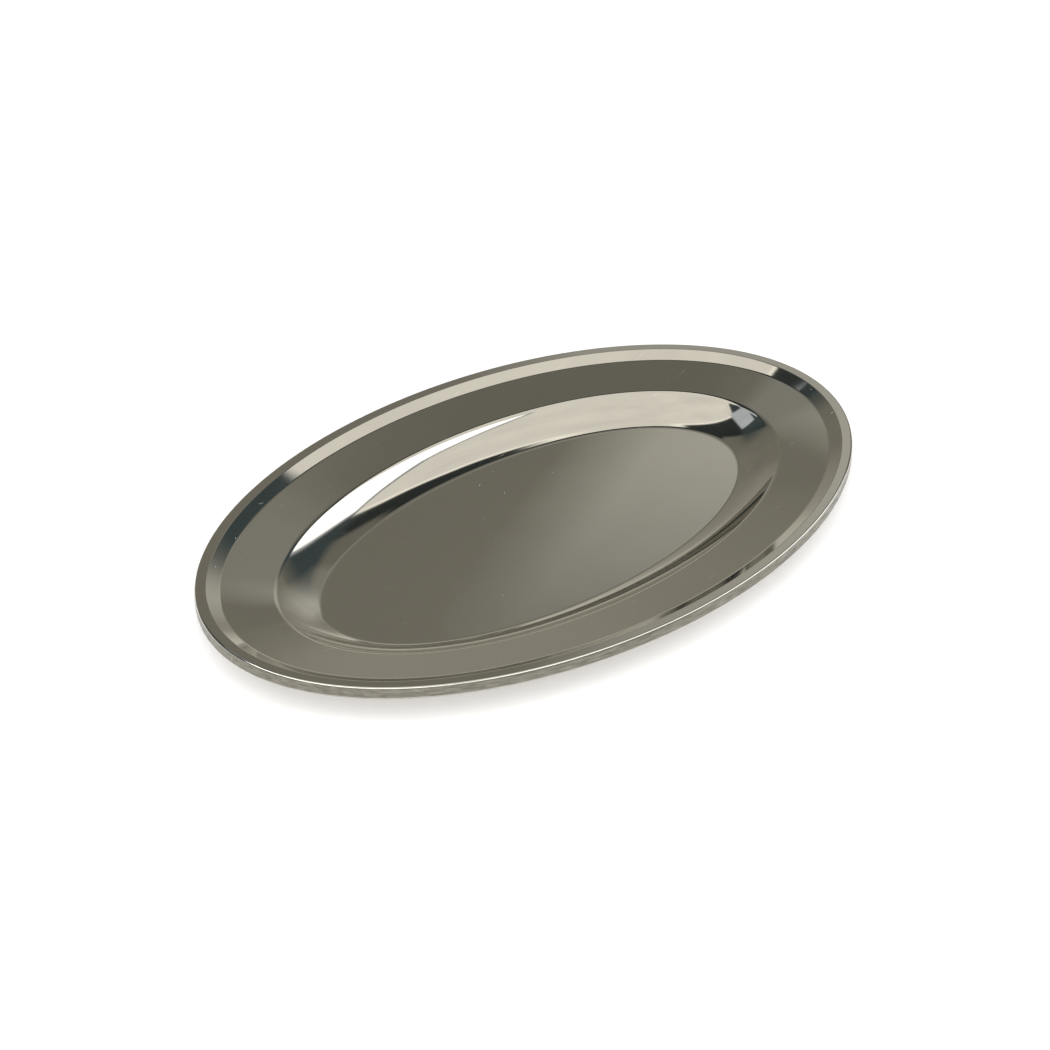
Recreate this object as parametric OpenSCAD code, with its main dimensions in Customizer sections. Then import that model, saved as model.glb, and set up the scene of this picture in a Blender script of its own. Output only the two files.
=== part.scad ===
// Oval serving platter pressed from one stainless steel sheet.
// The edge is turned down as a skirt and curled inwards round a stiffening wire.
// Origin: on the table, under the middle of the floor. +X along the length, +Z up.

/* [Overall] */
// Length over the outside of the skirt, mm
tray_length = 350; // [260:10:500]
// Width over the outside of the skirt, mm
tray_width = 222; // [200:2:320]
// Height from the table to the corner where band and skirt meet, mm
tray_height = 17.5; // [16.5:0.5:20]
// Thickness of the sheet, mm
sheet = 0.7; // [0.5:0.1:1]

/* [Edge] */
// Height of the turned-down skirt with its curl, mm
skirt_height = 6.5; // [5.5:0.5:9]
// Diameter of the wire inside the curl, mm
wire_d = 2; // [1.6:0.2:2.6]
// Outside radius of the fold between top and skirt, mm
fold_radius = 1.1; // [1:0.1:1.6]
// How far the sheet wraps round the wire, degrees
curl_wrap = 270; // [180:30:270]

/* [Step and rim] */
// Distance from the edge to the crest of the step, mm
crest_inset = 5.2; // [4.5:0.1:7]
// How far the outer band falls from the edge to the crest, mm
band_fall = 0.3; // [0:0.1:0.6]
// Distance from the edge to the foot of the step, mm
foot_inset = 11; // [10:0.5:14]
// How far the step falls, mm
step_fall = 2.9; // [2:0.1:3.5]
// Distance from the edge to the shoulder of the well, mm
shoulder_inset = 35.5; // [35:0.5:38]
// How far the rim falls from the step to the shoulder, mm
rim_fall = 4.5; // [3.5:0.1:5.5]

/* [Well] */
// Distance from the edge to the bend halfway down the wall, mm
bend_inset = 44; // [42:0.5:44.5]
// Slope of the upper wall, degrees
wall_slope = 34; // [30:1:37]
// Distance from the edge to the corner of the floor, mm
floor_inset = 55; // [54:0.5:58]
// How much longer the well's rings are drawn in at the ends than at the sides
end_draw = 0.04; // [0:0.01:0.06]

/* [Hidden] */

// Points round each ring, and the turn between two points on a bend
ring_points = 64;
bend_step = 13;
curl_step = 30;

// Radii of the bends, on the top side of the sheet
crest_radius = 1.5;
foot_radius = 4;
floor_radius = 8;

// The curl: radius of its outside and the middle of the wire
curl_radius = wire_d / 2 + sheet;
wire_inset = curl_radius;
wire_z = tray_height - skirt_height + curl_radius;

// Heights of the profile's corners above the table
crest_z = tray_height - band_fall;
foot_z = crest_z - step_fall;
shoulder_z = foot_z - rim_fall;
bend_z = shoulder_z - (bend_inset - shoulder_inset) * tan(wall_slope);

// The wall eases off nearly all the way down: its bend takes up most of the upper wall,
// and the shoulder's bend takes up most of the rest
bend_share = 0.85;
shoulder_share = 0.12;
upper_wall = (bend_inset - shoulder_inset) / cos(wall_slope);
lower_slope = atan((bend_z - sheet) / (floor_inset - bend_inset));
rim_slope = atan(rim_fall / (shoulder_inset - foot_inset));
bend_radius = bend_share * upper_wall / tan((wall_slope - lower_slope) / 2);
shoulder_radius = shoulder_share * upper_wall / tan((wall_slope - rim_slope) / 2);

// Corners of the top side, from the floor outwards: [distance from the edge, height, radius].
// The first and the last only give a direction.
corners = [
    [floor_inset + 20, sheet, 0],
    [floor_inset, sheet, floor_radius],
    [bend_inset, bend_z, bend_radius],
    [shoulder_inset, shoulder_z, shoulder_radius],
    [foot_inset, foot_z, foot_radius],
    [crest_inset, crest_z, crest_radius],
    [0, tray_height, fold_radius],
    [0, wire_z, 0]
];

// A bend: points on the top side and their outward normals, as
// [distance from the edge, height, normal away from the edge, normal upwards].
// Headings are the sheet's slope on its way outwards, so a fold downwards turns by a minus angle.
function heading(from, to) = atan2(to[1] - from[1], from[0] - to[0]);
function normal_at(angle) = [sin(angle), cos(angle)];
function bend(before, corner, after) =
    let (
        start = heading(before, corner),
        turn = heading(corner, after) - start,
        tangent = corner[2] * abs(tan(turn / 2)),
        first = [corner[0] + tangent * cos(start), corner[1] - tangent * sin(start)],
        swing = corner[2] * sign(turn),
        centre = first + swing * normal_at(start),
        steps = max(2, round(abs(turn) / bend_step))
    )
    [for (i = [0 : steps])
        let (normal = normal_at(start + turn * i / steps))
        concat(centre - swing * normal, normal)
    ];

// The curl: the sheet wraps round the wire, from the outside of the skirt downwards and inwards
curl = [for (angle = [0 : curl_step : curl_wrap])
    let (normal = [-cos(angle), -sin(angle)])
    concat([wire_inset, wire_z] + curl_radius * normal, normal)
];

// The whole top side from the floor's edge to the end of the curl
top_side = concat(
    [for (i = [1 : len(corners) - 2]) each bend(corners[i - 1], corners[i], corners[i + 1])],
    curl
);

// One ring of the tray: an ellipse drawn in from the edge
function drawn_in(inset, draw) = inset + draw * max(0, inset - crest_inset);
function ring(inset, z) =
    let (
        half_length = tray_length / 2 - drawn_in(inset, end_draw),
        half_width = tray_width / 2 - drawn_in(inset, -end_draw)
    )
    [for (i = [0 : ring_points - 1])
        let (angle = 360 * i / ring_points)
        [half_length * cos(angle), half_width * sin(angle), z]
    ];

// Triangles between ring k and the next one
function band(k, next) = [for (i = [0 : ring_points - 1])
    let (j = (i + 1) % ring_points)
    each [
        [k * ring_points + i, k * ring_points + j, next * ring_points + j],
        [k * ring_points + i, next * ring_points + j, next * ring_points + i]
    ]
];

module tray_body() {
    under_side = [for (i = [len(top_side) - 1 : -1 : 0])
        let (p = top_side[i])
        [p[0] - sheet * p[2], p[1] - sheet * p[3]]
    ];
    rings = concat([for (p = top_side) [p[0], p[1]]], under_side);
    count = len(rings);
    last = (count - 1) * ring_points;
    color([0.62, 0.61, 0.58])
    polyhedron(
        points = [for (r = rings) each ring(r[0], r[1])],
        faces = concat(
            [[for (i = [ring_points - 1 : -1 : 0]) i]],
            [for (k = [0 : count - 2]) each band(k, k + 1)],
            [[for (i = [0 : ring_points - 1]) last + i]]
        )
    );
}

module edge_wire() {
    sides = 360 / curl_step;
    section = [for (i = [0 : sides - 1])
        let (angle = i * curl_step)
        [wire_inset - wire_d / 2 * cos(angle), wire_z - wire_d / 2 * sin(angle)]
    ];
    color([0.5, 0.5, 0.5])
    polyhedron(
        points = [for (s = section) each ring(s[0], s[1])],
        faces = [for (k = [0 : sides - 1]) each band(k, (k + 1) % sides)]
    );
}

tray_body();
edge_wire();
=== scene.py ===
"""Looks of the oval serving platter: polished steel sheet, satin skirt and drawn wire in the curl."""

import math

import bpy
import numpy as np
from mathutils import Matrix, Vector


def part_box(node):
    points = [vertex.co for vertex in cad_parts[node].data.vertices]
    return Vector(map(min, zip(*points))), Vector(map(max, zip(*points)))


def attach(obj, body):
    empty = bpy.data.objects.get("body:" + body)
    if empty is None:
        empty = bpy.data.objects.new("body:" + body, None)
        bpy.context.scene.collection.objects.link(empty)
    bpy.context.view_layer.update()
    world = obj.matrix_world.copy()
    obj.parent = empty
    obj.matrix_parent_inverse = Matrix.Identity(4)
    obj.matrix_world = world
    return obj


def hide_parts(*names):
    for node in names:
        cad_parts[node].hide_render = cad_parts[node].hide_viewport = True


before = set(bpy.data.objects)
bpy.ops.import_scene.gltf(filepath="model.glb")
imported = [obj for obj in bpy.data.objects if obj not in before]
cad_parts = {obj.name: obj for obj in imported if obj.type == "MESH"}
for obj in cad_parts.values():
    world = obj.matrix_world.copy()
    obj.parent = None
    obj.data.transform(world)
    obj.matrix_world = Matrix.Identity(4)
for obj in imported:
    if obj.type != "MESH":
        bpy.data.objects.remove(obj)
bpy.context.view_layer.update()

MM = 0.001

# ---------------------------------------------------------------- driving dimensions, metres
low_corner, high_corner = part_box("tray_body")
HALF_LENGTH = (high_corner.x - low_corner.x) / 2
HALF_WIDTH = (high_corner.y - low_corner.y) / 2
EDGE_CORNER_Z = 17.5 * MM
SHEET = 0.7 * MM

CREST_INSET, CREST_RADIUS = 5.2 * MM, 1.5 * MM
FOOT_INSET, FOOT_RADIUS = 11.0 * MM, 4.0 * MM
SHOULDER_INSET = 35.5 * MM
BEND_INSET = 44.0 * MM
FLOOR_INSET, FLOOR_RADIUS = 55.0 * MM, 8.0 * MM
FOLD_RADIUS = 1.1 * MM
SKIRT_HEIGHT = 6.5 * MM
WIRE_RADIUS = 1.0 * MM
CURL_WRAP = math.radians(270)
WALL_SLOPE = math.radians(34)
BAND_FALL = 0.3 * MM
STEP_FALL = 2.9 * MM
RIM_FALL = 4.5 * MM
END_DRAW = 0.04

CURL_RADIUS = WIRE_RADIUS + SHEET
WIRE_INSET = CURL_RADIUS
WIRE_Z = EDGE_CORNER_Z - SKIRT_HEIGHT + CURL_RADIUS
CREST_Z = EDGE_CORNER_Z - BAND_FALL
FOOT_Z = CREST_Z - STEP_FALL
SHOULDER_Z = FOOT_Z - RIM_FALL
BEND_Z = SHOULDER_Z - (BEND_INSET - SHOULDER_INSET) * math.tan(WALL_SLOPE)

# The wall eases off nearly all the way down: its bend takes up most of the upper wall,
# and the shoulder's bend takes up most of the rest
BEND_SHARE = 0.85
SHOULDER_SHARE = 0.12
UPPER_WALL = (BEND_INSET - SHOULDER_INSET) / math.cos(WALL_SLOPE)
LOWER_SLOPE = math.atan((BEND_Z - SHEET) / (FLOOR_INSET - BEND_INSET))
RIM_SLOPE = math.atan(RIM_FALL / (SHOULDER_INSET - FOOT_INSET))
BEND_RADIUS = BEND_SHARE * UPPER_WALL / math.tan((WALL_SLOPE - LOWER_SLOPE) / 2)
SHOULDER_RADIUS = SHOULDER_SHARE * UPPER_WALL / math.tan((WALL_SLOPE - RIM_SLOPE) / 2)

# Corners of the show side from the floor outwards: distance from the edge, height, bend radius
CORNERS = [
    (FLOOR_INSET + 20 * MM, SHEET, 0.0),
    (FLOOR_INSET, SHEET, FLOOR_RADIUS),
    (BEND_INSET, BEND_Z, BEND_RADIUS),
    (SHOULDER_INSET, SHOULDER_Z, SHOULDER_RADIUS),
    (FOOT_INSET, FOOT_Z, FOOT_RADIUS),
    (CREST_INSET, CREST_Z, CREST_RADIUS),
    (0.0, EDGE_CORNER_Z, FOLD_RADIUS),
    (0.0, WIRE_Z, 0.0),
]

RING_POINTS = 480
BEND_STEP = math.radians(3)
CURL_STEP = math.radians(15)
LONGEST_STRIP = 3.0 * MM

# ---------------------------------------------------------------- view
VIEW_AZIMUTH = math.radians(-41.1)
VIEW_ELEVATION = math.radians(33.55)
VIEW_DISTANCE = 1.220
FOCAL_LENGTH = 90.9
SENSOR = 36.0
FRAME_SHIFT_X = -0.0114286
FRAME_SHIFT_Y = -0.0245714

AWAY = Vector((-math.sin(VIEW_AZIMUTH), math.cos(VIEW_AZIMUTH), 0))
RIGHT = Vector((math.cos(VIEW_AZIMUTH), math.sin(VIEW_AZIMUTH), 0))
UP = Vector((0, 0, 1))


# ---------------------------------------------------------------- profile of the pressing
def heading(start, end):
    """Slope of the sheet on its way outwards, in radians."""
    return math.atan2(end[1] - start[1], start[0] - end[0])


def normal_at(angle):
    """Normal of the show side for a slope: distance away from the edge, and up."""
    return np.array([math.sin(angle), math.cos(angle)])


def bend(before, corner, after):
    """Points of one bend with their normals: (inset, height, normal inset, normal height)."""
    start = heading(before, corner)
    turn = heading(corner, after) - start
    tangent = corner[2] * abs(math.tan(turn / 2))
    first = np.array([corner[0] + tangent * math.cos(start), corner[1] - tangent * math.sin(start)])
    swing = corner[2] * math.copysign(1, turn)
    centre = first + swing * normal_at(start)
    steps = max(4, round(abs(turn) / BEND_STEP))
    rows = []
    for i in range(steps + 1):
        normal = normal_at(start + turn * i / steps)
        rows.append(np.concatenate([centre - swing * normal, normal]))
    return rows


def curl():
    """The sheet's way round the wire, from the foot of the skirt downwards and inwards."""
    rows = []
    for i in range(1, round(CURL_WRAP / CURL_STEP) + 1):
        angle = i * CURL_STEP
        normal = np.array([-math.cos(angle), -math.sin(angle)])
        rows.append(np.concatenate([np.array([WIRE_INSET, WIRE_Z]) + CURL_RADIUS * normal, normal]))
    return rows


def show_side():
    """The show side from the floor's edge to the end of the curl, with long straights divided."""
    bends = [bend(CORNERS[i - 1], CORNERS[i], CORNERS[i + 1]) for i in range(1, len(CORNERS) - 1)]
    foot_of_skirt = np.array([0.0, WIRE_Z, -1.0, 0.0])
    stretches = bends + [[foot_of_skirt] + curl()]
    rows = list(stretches[0])
    for stretch in stretches[1:]:
        gap = np.linalg.norm(stretch[0][:2] - rows[-1][:2])
        strips = max(1, math.ceil(gap / LONGEST_STRIP))
        start = rows[-1]
        for i in range(1, strips):
            rows.append(start + (stretch[0] - start) * i / strips)
        rows.extend(stretch)
    return np.array(rows)


# ---------------------------------------------------------------- rings
def half_axes(inset):
    """Half length and half width of the ring drawn in by that much."""
    draw = END_DRAW * max(0.0, inset - CREST_INSET)
    return HALF_LENGTH - inset - draw, HALF_WIDTH - inset + draw


def ring(inset, height):
    """One ring of the tray: an ellipse at a height."""
    a, b = half_axes(inset)
    angle = np.arange(RING_POINTS) * 2 * math.pi / RING_POINTS
    return np.stack([a * np.cos(angle), b * np.sin(angle), np.full(RING_POINTS, height)], axis=1)


def ring_normals(inset, normal_inset, normal_up):
    """Normals round that ring: the profile's normal, turned to stand square to the ellipse."""
    a, b = half_axes(inset)
    angle = np.arange(RING_POINTS) * 2 * math.pi / RING_POINTS
    outward = np.stack([b * np.cos(angle), a * np.sin(angle), np.zeros(RING_POINTS)], axis=1)
    outward /= np.linalg.norm(outward, axis=1, keepdims=True)
    normals = -normal_inset * outward
    normals[:, 2] = normal_up
    return normals


def strip_faces(k, following):
    """Quads between ring k and the following one, facing outwards."""
    first, second = k * RING_POINTS, following * RING_POINTS
    return [
        (first + i, second + i, second + (i + 1) % RING_POINTS, first + (i + 1) % RING_POINTS)
        for i in range(RING_POINTS)
    ]


def mesh_piece(name, points, faces, normals, materials, face_materials):
    """A smooth mesh object with its normals stated at every point."""
    mesh = bpy.data.meshes.new(name)
    mesh.from_pydata([tuple(p) for p in points], [], faces)
    for material in materials:
        mesh.materials.append(material)
    mesh.polygons.foreach_set("material_index", face_materials)
    mesh.polygons.foreach_set("use_smooth", [True] * len(faces))
    mesh.update()
    mesh.normals_split_custom_set_from_vertices([tuple(n) for n in normals])
    piece = bpy.data.objects.new(name, mesh)
    bpy.context.scene.collection.objects.link(piece)
    return piece


# ---------------------------------------------------------------- shader groups
def new_group(name, inputs, outputs):
    """A shader node group with named float, colour and vector sockets."""
    group = bpy.data.node_groups.new(name, "ShaderNodeTree")
    kinds = {"float": "NodeSocketFloat", "color": "NodeSocketColor", "vector": "NodeSocketVector"}
    for label, kind, default in inputs:
        socket = group.interface.new_socket(label, in_out="INPUT", socket_type=kinds[kind])
        if default is not None:
            socket.default_value = default
    for label, kind in outputs:
        group.interface.new_socket(label, in_out="OUTPUT", socket_type=kinds[kind])
    return group, group.nodes.new("NodeGroupInput"), group.nodes.new("NodeGroupOutput")


def node(tree, kind, **settings):
    """Adds a node; settings are its properties, and inputs are given as a dictionary."""
    inputs = settings.pop("inputs", {})
    made = tree.nodes.new(kind)
    for key, value in settings.items():
        setattr(made, key, value)
    for key, value in inputs.items():
        if isinstance(value, bpy.types.NodeSocket):
            tree.links.new(value, made.inputs[key])
        else:
            made.inputs[key].default_value = value
    return made


def math_node(tree, operation, first, second=0.0):
    return node(tree, "ShaderNodeMath", operation=operation, inputs={0: first, 1: second}).outputs[0]


def both(tree, first, second):
    return math_node(tree, "MULTIPLY", first, second)


def ramp(tree, value, low, high, to_low=0.0, to_high=1.0):
    """Maps a value from one range to another, and holds it there."""
    inputs = {0: value, 1: low, 2: high, 3: to_low, 4: to_high}
    return node(tree, "ShaderNodeMapRange", inputs=inputs).outputs[0]


def combine(tree, x, y, z):
    return node(tree, "ShaderNodeCombineXYZ", inputs={0: x, 1: y, 2: z}).outputs[0]


def split(tree, vector):
    return node(tree, "ShaderNodeSeparateXYZ", inputs={0: vector}).outputs


def length_of(tree, vector):
    made = node(tree, "ShaderNodeVectorMath", operation="LENGTH", inputs={0: vector})
    return made.outputs["Value"]


def mapped(tree, place, turn, scale):
    """A place turned about the upright axis and stretched."""
    inputs = {"Vector": place, "Rotation": (0, 0, turn), "Scale": scale}
    return node(tree, "ShaderNodeMapping", inputs=inputs).outputs[0]


def noise(tree, place, scale, detail=2.0, roughness=0.5):
    """Soft cloudy variation over a place."""
    inputs = {"Vector": place, "Scale": scale, "Detail": detail, "Roughness": roughness}
    return node(tree, "ShaderNodeTexNoise", inputs=inputs).outputs[0]


# Where the noise in each effect begins and ends to show
LINE_CONTRAST = (0.32, 0.68)
PATCH_CONTRAST = (0.36, 0.66)
SCRATCH_CONTRAST = (0.73, 0.78)
SCRATCH_PATCH_CONTRAST = (0.56, 0.64)
SMEAR_CONTRAST = (0.42, 0.72)
DUST_SIZE = (0.05, 0.09)
DUST_RARITY = (0.975, 0.98)

# Cells of noise for every metre
PATCH_SCALE = 85.0
SCRATCH_PATCH_SCALE, SCRATCH_PATCH_STEP = 45.0, 12.0
SCRATCH_ALONG, SCRATCH_UP = 55.0, 40.0
SMEAR_SCALE = (9.0, 26.0, 20.0)
DUST_SCALE = 240.0
WAVE_SCALE = 22.0

# Sets of scratches: their turn in radians and how finely they lie side by side
SCRATCH_SETS = ((0.35, 1500.0), (1.45, 1200.0), (2.5, 1800.0))
SCRATCH_DEPTH = 0.0006
SMEAR_TURN = 0.6


def build_oval_lines_group():
    """Fine lines that run round the oval, as brushing, drawing and turning leave them."""
    group, given, out = new_group(
        "lines round the oval",
        [("Across", "float", 4000.0), ("Along", "float", 6.0), ("Break Up", "float", 0.5)],
        [("Lines", "float"), ("Patches", "float")],
    )
    place = node(group, "ShaderNodeTexCoord").outputs["Object"]
    parts = split(group, place)
    across_length = math_node(group, "DIVIDE", parts[0], HALF_LENGTH)
    across_width = math_node(group, "DIVIDE", parts[1], HALF_WIDTH)
    oval = combine(group, across_length, across_width, 0.0)
    outward = node(group, "ShaderNodeVectorMath", operation="NORMALIZE", inputs={0: oval}).outputs[0]
    level = math_node(group, "ADD", both(group, length_of(group, oval), HALF_WIDTH), parts[2])
    lane = both(group, level, given.outputs["Across"])
    inputs = {0: outward, "Scale": given.outputs["Along"]}
    turns = node(group, "ShaderNodeVectorMath", operation="SCALE", inputs=inputs).outputs[0]
    turns = split(group, turns)
    lines = noise(group, combine(group, lane, turns[0], turns[1]), 1.0, 3.0)
    lines = ramp(group, lines, *LINE_CONTRAST)
    patches = ramp(group, noise(group, place, PATCH_SCALE, 4.0, 0.6), *PATCH_CONTRAST)
    broken = both(group, given.outputs["Break Up"], math_node(group, "SUBTRACT", patches, 1.0))
    lines = both(group, lines, math_node(group, "ADD", broken, 1.0))
    group.links.new(lines, out.inputs["Lines"])
    group.links.new(patches, out.inputs["Patches"])
    return group


def build_handling_group():
    """Wear of polished steel: fine scratches, wiped smears, dust and a slight waviness."""
    group, given, out = new_group(
        "steel handling",
        [(label, "float", 1.0) for label in ("Scratches", "Smears", "Dust", "Waves")],
        [(label, "float") for label in ("Scratch Mask", "Smear Mask", "Dust Mask", "Height")],
    )
    place = node(group, "ShaderNodeTexCoord").outputs["Object"]

    scratches = None
    for turn, fineness in SCRATCH_SETS:
        lines = mapped(group, place, turn, (SCRATCH_ALONG, fineness, SCRATCH_UP))
        thin = ramp(group, noise(group, lines, 1.0, 1.0), *SCRATCH_CONTRAST)
        patch = noise(group, place, SCRATCH_PATCH_SCALE + SCRATCH_PATCH_STEP * turn)
        thin = both(group, thin, ramp(group, patch, *SCRATCH_PATCH_CONTRAST))
        scratches = thin if scratches is None else math_node(group, "MAXIMUM", scratches, thin)
    scratches = both(group, scratches, given.outputs["Scratches"])

    smears = noise(group, mapped(group, place, SMEAR_TURN, SMEAR_SCALE), 1.0, 5.0, 0.62)
    smears = both(group, ramp(group, smears, *SMEAR_CONTRAST), given.outputs["Smears"])

    cells = node(group, "ShaderNodeTexVoronoi", inputs={"Vector": place, "Scale": DUST_SCALE})
    specks = ramp(group, cells.outputs["Distance"], *DUST_SIZE, 1.0, 0.0)
    chance = node(group, "ShaderNodeSeparateColor", inputs={0: cells.outputs["Color"]}).outputs[0]
    specks = both(group, specks, ramp(group, chance, *DUST_RARITY))
    dust = both(group, specks, given.outputs["Dust"])

    waves = both(group, noise(group, place, WAVE_SCALE, 1.0), given.outputs["Waves"])
    height = math_node(group, "SUBTRACT", waves, both(group, scratches, SCRATCH_DEPTH))

    for label, value in (
        ("Scratch Mask", scratches), ("Smear Mask", smears), ("Dust Mask", dust), ("Height", height)
    ):
        group.links.new(value, out.inputs[label])
    return group


def principled(name):
    """A new material with a Principled shader."""
    material = bpy.data.materials.new(name)
    material.use_nodes = True
    tree = material.node_tree
    shader = next(n for n in tree.nodes if n.type == "BSDF_PRINCIPLED")
    return material, tree, shader


def use_group(tree, group, **values):
    """Places a shader group, with its own values."""
    made = node(tree, "ShaderNodeGroup", node_tree=group)
    for label, value in values.items():
        made.inputs[label.replace("_", " ")].default_value = value
    return made.outputs


def mix_colour(tree, mask, first, second):
    inputs = {0: mask, 6: first, 7: second}
    return node(tree, "ShaderNodeMix", data_type="RGBA", inputs=inputs).outputs[2]


def sum_of(tree, base, *masks):
    """A starting value plus each mask times its weight."""
    for mask, weight in masks:
        base = math_node(tree, "ADD", both(tree, mask, weight), base)
    return base


def feed(tree, shader, colour, roughness, height, strength, distance=0.0002):
    """Joins a colour, a roughness and a bump height to the shader."""
    tree.links.new(colour, shader.inputs["Base Color"])
    tree.links.new(roughness, shader.inputs["Roughness"])
    inputs = {"Strength": strength, "Distance": distance, "Height": height}
    bump = node(tree, "ShaderNodeBump", inputs=inputs)
    tree.links.new(bump.outputs[0], shader.inputs["Normal"])


def polished_steel():
    """Mirror polished show side: sharp reflections, a little waviness, light wear and dust."""
    material, tree, shader = principled("polished steel")
    wear = use_group(tree, HANDLING, Scratches=1.0, Smears=1.0, Dust=1.0, Waves=1.0)
    turned = use_group(tree, OVAL_LINES, Across=2600.0, Along=9.0, Break_Up=0.8)
    shader.inputs["Metallic"].default_value = 1.0
    colour = mix_colour(tree, wear["Smear Mask"], (0.640, 0.630, 0.570, 1), (0.620, 0.612, 0.552, 1))
    colour = mix_colour(tree, turned["Patches"], colour, (0.635, 0.618, 0.566, 1))
    colour = mix_colour(tree, wear["Scratch Mask"], colour, (0.80, 0.79, 0.76, 1))
    colour = mix_colour(tree, wear["Dust Mask"], colour, (0.88, 0.87, 0.84, 1))
    rough = sum_of(
        tree, 0.038, (wear["Smear Mask"], 0.03), (turned["Lines"], 0.012),
        (wear["Scratch Mask"], 0.22), (wear["Dust Mask"], 0.6),
    )
    feed(tree, shader, colour, rough, wear["Height"], 0.085, 0.001)
    return material


def satin_steel_with_painted_shade():
    """The skirt: brushed round the oval after curling, so duller and streaky; its colour is also set
    darker than the show side's steel, as painted shade for the shaded table under the rim.
    """
    material, tree, shader = principled("satin skirt with painted shade")
    wear = use_group(tree, HANDLING, Scratches=0.8, Smears=1.0, Dust=0.3, Waves=0.0)
    brushed = use_group(tree, OVAL_LINES, Across=5200.0, Along=11.0, Break_Up=0.55)
    shader.inputs["Metallic"].default_value = 1.0
    streaked = use_group(tree, OVAL_LINES, Across=1300.0, Along=26.0, Break_Up=0.25)
    # Painted shade: these colours are much darker than the show side's steel so that the skirt reads
    # as shaded; the brushing lines and streaks in them are the skirt's own.
    colour = mix_colour(tree, brushed["Lines"], (0.20, 0.190, 0.158, 1), (0.40, 0.380, 0.325, 1))
    stained = both(tree, streaked["Lines"], 0.85)
    colour = mix_colour(tree, stained, colour, (0.115, 0.106, 0.082, 1))
    colour = mix_colour(tree, wear["Scratch Mask"], colour, (0.62, 0.61, 0.58, 1))
    rough = sum_of(
        tree, 0.30, (brushed["Lines"], 0.10), (streaked["Lines"], 0.06), (wear["Smear Mask"], 0.05)
    )
    height = sum_of(tree, 0.0, (brushed["Lines"], 0.6), (streaked["Lines"], 1.0))
    feed(tree, shader, colour, rough, height, 0.35, 0.00006)
    return material


def mill_steel():
    """The underside: left as rolled and drawn, with faint draw lines, stains and stacking scuffs."""
    material, tree, shader = principled("mill underside")
    wear = use_group(tree, HANDLING, Scratches=1.0, Smears=1.0, Dust=0.6, Waves=1.0)
    drawn = use_group(tree, OVAL_LINES, Across=1500.0, Along=7.0, Break_Up=0.6)
    shader.inputs["Metallic"].default_value = 1.0
    colour = mix_colour(tree, drawn["Lines"], (0.47, 0.46, 0.435, 1), (0.56, 0.55, 0.525, 1))
    colour = mix_colour(tree, wear["Smear Mask"], colour, (0.44, 0.43, 0.40, 1))
    colour = mix_colour(tree, wear["Scratch Mask"], colour, (0.68, 0.67, 0.64, 1))
    rough = sum_of(
        tree, 0.21, (drawn["Lines"], 0.06), (drawn["Patches"], 0.06),
        (wear["Smear Mask"], 0.08), (wear["Scratch Mask"], 0.15),
    )
    height = sum_of(tree, 0.0, (drawn["Lines"], 0.6), (wear["Height"], 1.0))
    feed(tree, shader, colour, rough, height, 0.2, 0.0001)
    return material


def drawn_wire():
    """Bright drawn wire: fine die lines along its length."""
    material, tree, shader = principled("drawn wire")
    wear = use_group(tree, HANDLING, Scratches=0.5, Smears=0.8, Dust=0.3, Waves=0.0)
    drawn = use_group(tree, OVAL_LINES, Across=9000.0, Along=5.0, Break_Up=0.3)
    shader.inputs["Metallic"].default_value = 1.0
    colour = mix_colour(tree, drawn["Lines"], (0.40, 0.395, 0.38, 1), (0.52, 0.515, 0.50, 1))
    colour = mix_colour(tree, wear["Smear Mask"], colour, (0.36, 0.35, 0.32, 1))
    rough = sum_of(tree, 0.24, (drawn["Lines"], 0.10), (wear["Smear Mask"], 0.08))
    feed(tree, shader, colour, rough, drawn["Lines"], 0.3, 0.00004)
    return material


OVAL_LINES = build_oval_lines_group()
HANDLING = build_handling_group()


# ---------------------------------------------------------------- pieces
# The tray's looks, in the order of its materials
SHOW_ZONE, SKIRT_ZONE, UNDER_ZONE = 0, 1, 2

# The skirt begins where the fold has turned this far down
SKIRT_NORMAL = -0.93

WIRE_SIDES = 24


def build_tray():
    rows = show_side()
    under = rows[::-1].copy()
    under[:, :2] -= SHEET * under[:, 2:]
    under[:, 2:] *= -1
    profile = np.concatenate([rows, under])
    points = np.concatenate([ring(r[0], r[1]) for r in profile])
    normals = np.concatenate([ring_normals(r[0], r[2], r[3]) for r in profile])
    count = len(profile)
    faces, zones = [], []
    for k in range(count - 1):
        middle = (profile[k] + profile[k + 1]) / 2
        if k >= len(rows):
            zone = UNDER_ZONE
        elif middle[0] < FOLD_RADIUS and middle[2] < SKIRT_NORMAL:
            zone = SKIRT_ZONE
        elif k > len(rows) - CURL_WRAP / CURL_STEP:
            zone = SKIRT_ZONE
        else:
            zone = SHOW_ZONE
        faces.extend(strip_faces(k, k + 1))
        zones.extend([zone] * RING_POINTS)
    faces.append(tuple(range(RING_POINTS)))
    zones.append(SHOW_ZONE)
    last = (count - 1) * RING_POINTS
    faces.append(tuple(last + i for i in reversed(range(RING_POINTS))))
    zones.append(UNDER_ZONE)
    materials = [polished_steel(), satin_steel_with_painted_shade(), mill_steel()]
    return mesh_piece("tray_sheet", points, faces, normals, materials, zones)


def build_wire():
    centre = np.array([WIRE_INSET, WIRE_Z])
    section = []
    for i in range(WIRE_SIDES):
        angle = i * 2 * math.pi / WIRE_SIDES
        normal = np.array([-math.cos(angle), -math.sin(angle)])
        section.append(np.concatenate([centre + WIRE_RADIUS * normal, normal]))
    points = np.concatenate([ring(r[0], r[1]) for r in section])
    normals = np.concatenate([ring_normals(r[0], r[2], r[3]) for r in section])
    faces = []
    for k in range(WIRE_SIDES):
        faces.extend(strip_faces(k, (k + 1) % WIRE_SIDES))
    return mesh_piece("curl_wire", points, faces, normals, [drawn_wire()], [0] * len(faces))


tray = build_tray()
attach(tray, "root")
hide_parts("tray_body")

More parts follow.
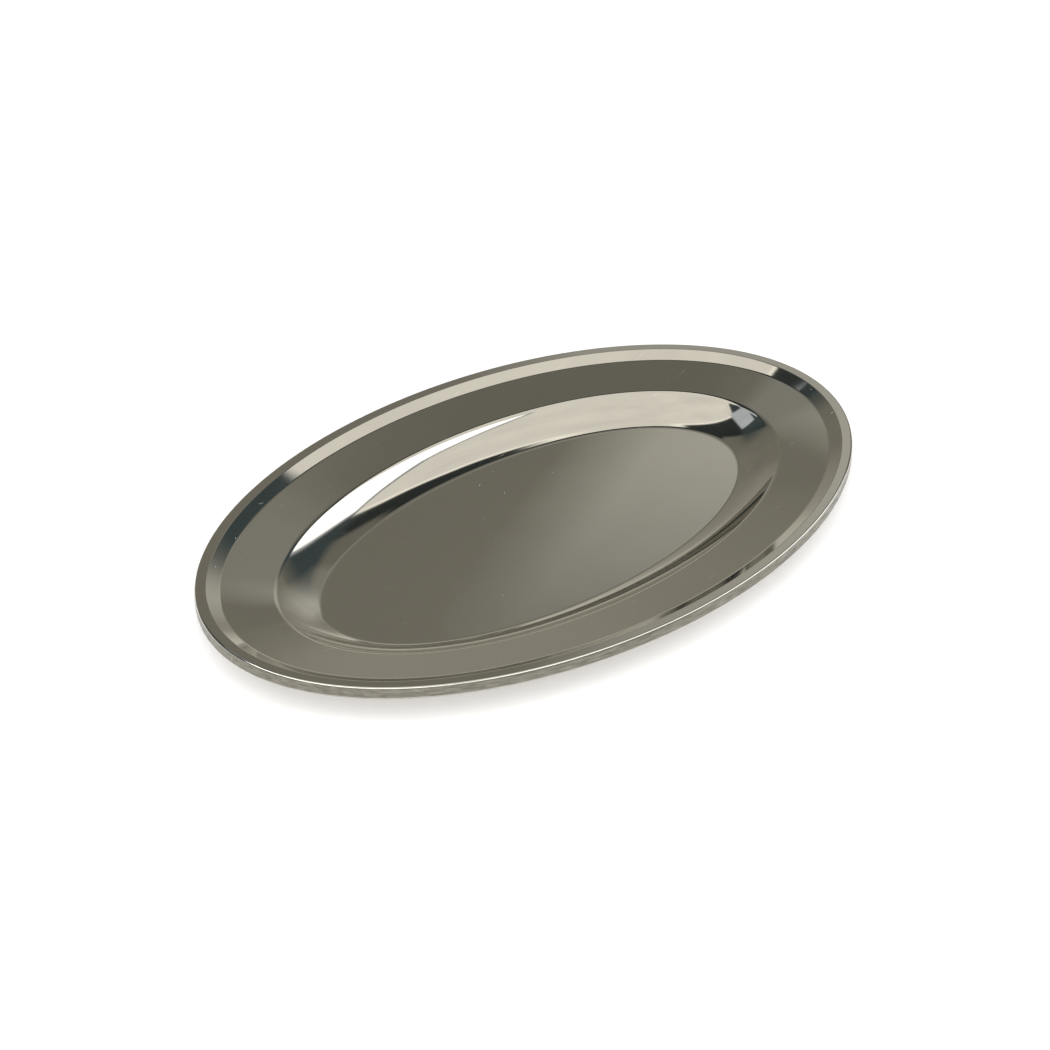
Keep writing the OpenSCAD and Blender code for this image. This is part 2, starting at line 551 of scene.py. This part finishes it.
wire = build_wire()
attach(wire, "root")
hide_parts("edge_wire")


# ---------------------------------------------------------------- floor
FLOOR_HALF = 15.0
FLOOR_TONE = (0.9, 0.9, 0.9, 1)
FLOOR_ROUGHNESS = 0.9


def build_floor():
    half = FLOOR_HALF
    corners = [(-half, -half, 0), (half, -half, 0), (half, half, 0), (-half, half, 0)]
    mesh = bpy.data.meshes.new("studio floor")
    mesh.from_pydata(corners, [], [(0, 1, 2, 3)])
    floor = bpy.data.objects.new("studio_floor", mesh)
    bpy.context.scene.collection.objects.link(floor)
    material, _, shader = principled("pale floor")
    shader.inputs["Base Color"].default_value = FLOOR_TONE
    shader.inputs["Roughness"].default_value = FLOOR_ROUGHNESS
    mesh.materials.append(material)


build_floor()


# ---------------------------------------------------------------- light
# The room's soft lights are given by where they stand: metres to the right of the tray and away
# from it, for every metre of height. The room is far enough off for that to hold over the tray.
REFLECTOR_RIGHT = (-0.50, 0.60)
REFLECTOR_AWAY = (-0.6, 0.48)
REFLECTOR_SLANT = 0.30
REFLECTOR_SPREAD = 0.5
REFLECTOR_RIM = 0.03
HOOP_REACH = (0.74, 1.06)
HOOP_END = 0.10
LAMP_CENTRE = (-0.675, 0.49)
LAMP_TURN = math.radians(15)
LAMP_ALONG = (-0.27, 0.16)
LAMP_ACROSS = (-0.13, 0.145)
# The side softbox stands upright: away and up for every metre to the right. Its top edge rises
# towards the viewer, and it has a narrow grey frame.
SIDE_BOX_AWAY = (-2.5, 1.0)
SIDE_BOX_UP = (0.35, 1.60)
SIDE_BOX_RISE = 0.8
SIDE_BOX_RISE_FROM = 0.5
SIDE_BOX_FRAME = 0.06
DARK_SIDES_FROM = (0.50, 0.62)
DARK_SIDES_START = (-0.2, 0.0)
DARK_SIDES_TO = (1.25, 2.1)
DARK_LEFT_SHORTER = 1.7
LOW_WALLS_UP = (0.30, 0.52)
LOW_WALLS_AWAY = (0.50, 0.78)
EDGE_SOFTNESS = 0.012
HOOP_SOFTNESS, HOOP_END_FADE = 0.03, 0.05
SIDE_BOX_SOFTNESS_AWAY, SIDE_BOX_SOFTNESS_UP = 0.02, 0.015
SIDE_BOX_FACING = (0.05, 0.1)
LAMP_SOFTNESS = 0.015
# Keeps the shares from dividing by nought
LEAST_HEIGHT = 0.02

WARM_WHITE = (1.0, 0.955, 0.885)
COOL_WHITE = (0.97, 0.985, 1.0)
LAMP_GREY = (0.88, 0.93, 1.0)
FRAME_GREY = (0.34, 0.34, 0.36)
DARK_TEAL = (0.055, 0.074, 0.078)
LOW_WALL_GREY = (0.250, 0.240, 0.215)
CARD_WARM = (1.0, 0.97, 0.89)
REFLECTOR_LIGHT, REFLECTOR_RIM_LIGHT = 0.96, 1.35
HOOP_LIGHT = 5.0
SIDE_BOX_LIGHT = 1.9
LAMP_LIGHT = 0.68
CARD_LIGHT = 0.56

# The white that the floor and the tray's dull side are lit by
PLAIN_WHITE = (0.97, 0.98, 1.0, 1)
PLAIN_LIGHT = 1.22

# Nothing in a room is quite evenly lit
ROOM_UNEVENNESS = (0.91, 1.09)
ROOM_PATCHES = 4.0

# Brightness and colour of the walls, by how far the direction points away from the viewer's side
ROOM_TONES = [
    (-1.0, (0.500, 0.500, 0.500)),
    (-0.85, (0.360, 0.358, 0.350)),
    (-0.60, (0.250, 0.245, 0.235)),
    (-0.35, (0.180, 0.180, 0.175)),
    (0.0, (0.060, 0.070, 0.070)),
    (0.575, (0.028, 0.033, 0.032)),
    (0.60, (0.180, 0.172, 0.150)),
    (0.80, (0.225, 0.212, 0.182)),
    (0.855, (0.225, 0.212, 0.182)),
    (0.89, (0.225, 0.212, 0.182)),
    (0.94, (0.300, 0.285, 0.245)),
    (0.975, (0.350, 0.330, 0.285)),
    (0.99, (0.660, 0.630, 0.560)),
    (1.0, (0.660, 0.630, 0.560)),
]


def slab(tree, value, limits, softness):
    """One between the two limits and nought outside them."""
    rise = ramp(tree, value, limits[0] - softness, limits[0] + softness)
    fall = ramp(tree, value, limits[1] - softness, limits[1] + softness, 1.0, 0.0)
    return both(tree, rise, fall)


def along(tree, direction, axis):
    """How far a direction points along an axis."""
    inputs = {0: direction, 1: tuple(axis)}
    made = node(tree, "ShaderNodeVectorMath", operation="DOT_PRODUCT", inputs=inputs)
    return made.outputs["Value"]


def lit(tree, base, mask, tone, strength):
    """Lays a light over the room's colour where the mask is one."""
    return mix_colour(tree, mask, base, (*(c * strength for c in tone), 1))


def add_walls(tree, away):
    walls = node(tree, "ShaderNodeValToRGB", inputs={0: ramp(tree, away, -1.0, 1.0)})
    stops = walls.color_ramp.elements
    while len(stops) < len(ROOM_TONES):
        stops.new(0.5)
    for stop, (place, tone) in zip(stops, ROOM_TONES):
        stop.position = (place + 1) / 2
        stop.color = (*tone, 1)
    return walls.outputs[0]


def add_low_walls(tree, colour, away, up):
    """Makes the side walls mid grey low down, so that the steel isn't black from the sides."""
    beside = ramp(tree, math_node(tree, "ABSOLUTE", away), *LOW_WALLS_AWAY, 1.0, 0.0)
    low = ramp(tree, up, *LOW_WALLS_UP, 1.0, 0.0)
    return lit(tree, colour, both(tree, beside, low), LOW_WALL_GREY, 1.0)


def add_dark_sides(tree, colour, right_over, away_over):
    """Makes the room dark to both sides, up to where the walls come in: sooner on the left."""
    sideways = math_node(tree, "ABSOLUTE", right_over)
    on_left = math_node(tree, "LESS_THAN", right_over, 0.0)
    reach = both(tree, away_over, sum_of(tree, 1.0, (on_left, DARK_LEFT_SHORTER - 1)))
    mask = ramp(tree, sideways, *DARK_SIDES_FROM)
    mask = both(tree, mask, ramp(tree, reach, *DARK_SIDES_TO, 1.0, 0.0))
    mask = both(tree, mask, ramp(tree, away_over, *DARK_SIDES_START))
    return lit(tree, colour, mask, DARK_TEAL, 1.0)


def add_reflector(tree, colour, right_over, away_over):
    """The big warm reflector overhead, with a brighter rim along its far edge."""
    reach = math_node(tree, "SUBTRACT", away_over, both(tree, right_over, REFLECTOR_SLANT))
    # Towards the viewer its left edge spreads outwards
    spread = both(tree, math_node(tree, "MINIMUM", away_over, 0.0), REFLECTOR_SPREAD)
    from_left = math_node(tree, "SUBTRACT", right_over, spread)
    from_left = math_node(tree, "SUBTRACT", from_left, REFLECTOR_RIGHT[0])
    from_right = math_node(tree, "SUBTRACT", REFLECTOR_RIGHT[1], right_over)
    inside = math_node(tree, "MINIMUM", from_left, from_right)
    width = ramp(tree, inside, -EDGE_SOFTNESS, EDGE_SOFTNESS)
    for shortfall, light in ((0.0, REFLECTOR_RIM_LIGHT), (REFLECTOR_RIM, REFLECTOR_LIGHT)):
        limits = (REFLECTOR_AWAY[0], REFLECTOR_AWAY[1] - shortfall)
        mask = both(tree, width, slab(tree, reach, limits, EDGE_SOFTNESS))
        colour = lit(tree, colour, mask, WARM_WHITE, light)
    return colour


def add_hoop(tree, colour, right_over, away_over):
    """A half hoop of tubes over the viewer's side, which draws the white line on the fold."""
    reach = length_of(tree, combine(tree, right_over, away_over, 0.0))
    side = ramp(tree, away_over, HOOP_END - HOOP_END_FADE, HOOP_END, 1.0, 0.0)
    mask = both(tree, slab(tree, reach, HOOP_REACH, HOOP_SOFTNESS), side)
    return lit(tree, colour, mask, COOL_WHITE, HOOP_LIGHT)


def add_side_box(tree, colour, right, away, up):
    rightward = math_node(tree, "MAXIMUM", right, LEAST_HEIGHT)
    away_share = math_node(tree, "DIVIDE", away, rightward)
    rise = math_node(tree, "SUBTRACT", SIDE_BOX_RISE_FROM, away_share)
    rise = math_node(tree, "MAXIMUM", rise, 0.0)
    up_share = math_node(tree, "DIVIDE", up, rightward)
    up_share = math_node(tree, "SUBTRACT", up_share, both(tree, rise, SIDE_BOX_RISE))
    facing = ramp(tree, right, *SIDE_BOX_FACING)
    frame_and_front = ((SIDE_BOX_FRAME, FRAME_GREY, 1.0), (0.0, COOL_WHITE, SIDE_BOX_LIGHT))
    for frame_width, tone, light in frame_and_front:
        away_limits = (SIDE_BOX_AWAY[0], SIDE_BOX_AWAY[1] + frame_width)
        up_limits = (SIDE_BOX_UP[0], SIDE_BOX_UP[1] + frame_width)
        mask = both(
            tree,
            slab(tree, away_share, away_limits, SIDE_BOX_SOFTNESS_AWAY),
            slab(tree, up_share, up_limits, SIDE_BOX_SOFTNESS_UP),
        )
        colour = lit(tree, colour, both(tree, mask, facing), tone, light)
    return colour


def add_lamp(tree, colour, right_over, away_over):
    """A small grey lamp head, up on the left."""
    from_right = math_node(tree, "SUBTRACT", right_over, LAMP_CENTRE[0])
    from_away = math_node(tree, "SUBTRACT", away_over, LAMP_CENTRE[1])
    cosine, sine = math.cos(LAMP_TURN), math.sin(LAMP_TURN)
    lengthwise = sum_of(tree, 0.0, (from_away, cosine), (from_right, -sine))
    crosswise = sum_of(tree, 0.0, (from_right, cosine), (from_away, sine))
    mask = both(
        tree,
        slab(tree, lengthwise, LAMP_ALONG, LAMP_SOFTNESS),
        slab(tree, crosswise, LAMP_ACROSS, LAMP_SOFTNESS),
    )
    return lit(tree, colour, mask, LAMP_GREY, LAMP_LIGHT)


def build_world():
    """A studio room for the steel to mirror; the floor gets plain soft white light."""
    world = bpy.data.worlds.new("studio room")
    bpy.context.scene.world = world
    world.use_nodes = True
    tree = world.node_tree
    tree.nodes.clear()
    direction = node(tree, "ShaderNodeTexCoord").outputs["Generated"]
    right, away, up = (along(tree, direction, axis) for axis in (RIGHT, AWAY, UP))
    height = math_node(tree, "MAXIMUM", up, LEAST_HEIGHT)
    right_over = math_node(tree, "DIVIDE", right, height)
    away_over = math_node(tree, "DIVIDE", away, height)
    colour = add_walls(tree, away)
    colour = add_dark_sides(tree, colour, right_over, away_over)
    colour = add_low_walls(tree, colour, away, up)
    colour = add_reflector(tree, colour, right_over, away_over)
    colour = add_hoop(tree, colour, right_over, away_over)
    colour = add_side_box(tree, colour, right, away, up)
    colour = add_lamp(tree, colour, right_over, away_over)

    uneven = noise(tree, direction, ROOM_PATCHES, 3.0, 0.55)
    strength = ramp(tree, uneven, *LINE_CONTRAST, *ROOM_UNEVENNESS)
    room = node(tree, "ShaderNodeBackground", inputs={"Color": colour, "Strength": strength})
    inputs = {"Color": PLAIN_WHITE, "Strength": PLAIN_LIGHT}
    plain_white = node(tree, "ShaderNodeBackground", inputs=inputs)
    ray = node(tree, "ShaderNodeLightPath").outputs["Is Glossy Ray"]
    inputs = {0: ray, 1: plain_white.outputs[0], 2: room.outputs[0]}
    mixed = node(tree, "ShaderNodeMixShader", inputs=inputs)
    out = node(tree, "ShaderNodeOutputWorld")
    tree.links.new(mixed.outputs[0], out.inputs["Surface"])


build_world()


# A warm card stands close behind the tray, and its light fades out towards the left
CARD_DISTANCE = 1.0
CARD_RIGHT = (-0.14, 0.56)
CARD_LEAN = 0.62
CARD_LEAN_UP = (0.50, 0.78)
CARD_FADE = (0.386, 0.470)
CARD_SLOW_FADE = (0.42, 0.62)
CARD_SLOW_SHARE = 0.25
CARD_DIMMING_UP = (0.59, 0.78)
CARD_DIMMED = 0.54
CARD_FAR_FADE = (0.22, 0.54)
CARD_UP = (0.10, 1.01)
CARD_FOOT_FADE = (0.12, 0.42)
CARD_TOP_FADE = 0.08


def build_card():
    corners = []
    for right, up in ((0, 0), (1, 0), (1, 1), (0, 1)):
        corners.append(CARD_RIGHT[right] * RIGHT + CARD_DISTANCE * AWAY + CARD_UP[up] * UP)
    mesh = bpy.data.meshes.new("warm card")
    mesh.from_pydata(corners, [], [(0, 1, 2, 3)])
    card = bpy.data.objects.new("warm_card", mesh)
    bpy.context.scene.collection.objects.link(card)
    card.visible_camera = False
    card.visible_shadow = False

    material = bpy.data.materials.new("warm card")
    material.use_nodes = True
    tree = material.node_tree
    tree.nodes.clear()
    place = node(tree, "ShaderNodeTexCoord").outputs["Object"]
    sideways = along(tree, place, RIGHT)
    level = along(tree, place, UP)
    leaning = sum_of(tree, sideways, (ramp(tree, level, *CARD_LEAN_UP, *CARD_LEAN_UP), CARD_LEAN))
    glow = sum_of(
        tree, 0.0, (ramp(tree, leaning, *CARD_FADE), 1 - CARD_SLOW_SHARE),
        (ramp(tree, leaning, *CARD_SLOW_FADE), CARD_SLOW_SHARE),
    )
    glow = both(tree, glow, ramp(tree, sideways, *CARD_FAR_FADE, 1.0, 0.0))
    glow = both(tree, glow, ramp(tree, level, *CARD_FOOT_FADE))
    tint = ramp(tree, level, *CARD_DIMMING_UP, CARD_LIGHT, CARD_LIGHT * CARD_DIMMED)
    glow = both(tree, glow, ramp(tree, level, CARD_UP[1] - CARD_TOP_FADE, CARD_UP[1], 1.0, 0.0))
    light = node(tree, "ShaderNodeEmission", inputs={"Color": (*CARD_WARM, 1), "Strength": tint})
    clear = node(tree, "ShaderNodeBsdfTransparent")
    inputs = {0: glow, 1: clear.outputs[0], 2: light.outputs[0]}
    mixed = node(tree, "ShaderNodeMixShader", inputs=inputs)
    out = node(tree, "ShaderNodeOutputMaterial")
    tree.links.new(mixed.outputs[0], out.inputs["Surface"])
    mesh.materials.append(material)


build_card()


KEY_ENERGY = 3.6
KEY_TONE = (1.0, 0.96, 0.90)
KEY_WIDTH = math.radians(36)
KEY_RIGHT, KEY_AWAY, KEY_UP = 0.05, -1.0, 0.42


def build_key():
    """A soft low key from behind the viewer, which lights the table under the edge."""
    data = bpy.data.lights.new("soft key", "SUN")
    data.energy = KEY_ENERGY
    data.color = KEY_TONE
    data.angle = KEY_WIDTH
    key = bpy.data.objects.new("soft key", data)
    direction = (KEY_RIGHT * RIGHT + KEY_AWAY * AWAY + KEY_UP * UP).normalized()
    key.rotation_euler = direction.to_track_quat("Z", "Y").to_euler()
    key.visible_glossy = False
    bpy.context.scene.collection.objects.link(key)


build_key()


# ---------------------------------------------------------------- camera
def build_camera():
    data = bpy.data.cameras.new("view")
    data.lens = FOCAL_LENGTH
    data.sensor_width = SENSOR
    data.shift_x = FRAME_SHIFT_X
    data.shift_y = FRAME_SHIFT_Y
    camera = bpy.data.objects.new("view", data)
    target = Vector((0, 0, high_corner.z))
    back = -AWAY * math.cos(VIEW_ELEVATION) + UP * math.sin(VIEW_ELEVATION)
    camera.location = target + back * VIEW_DISTANCE
    camera.rotation_euler = back.to_track_quat("Z", "Y").to_euler()
    bpy.context.scene.collection.objects.link(camera)
    bpy.context.scene.camera = camera


build_camera()
bpy.context.scene.view_settings.view_transform = "Standard"
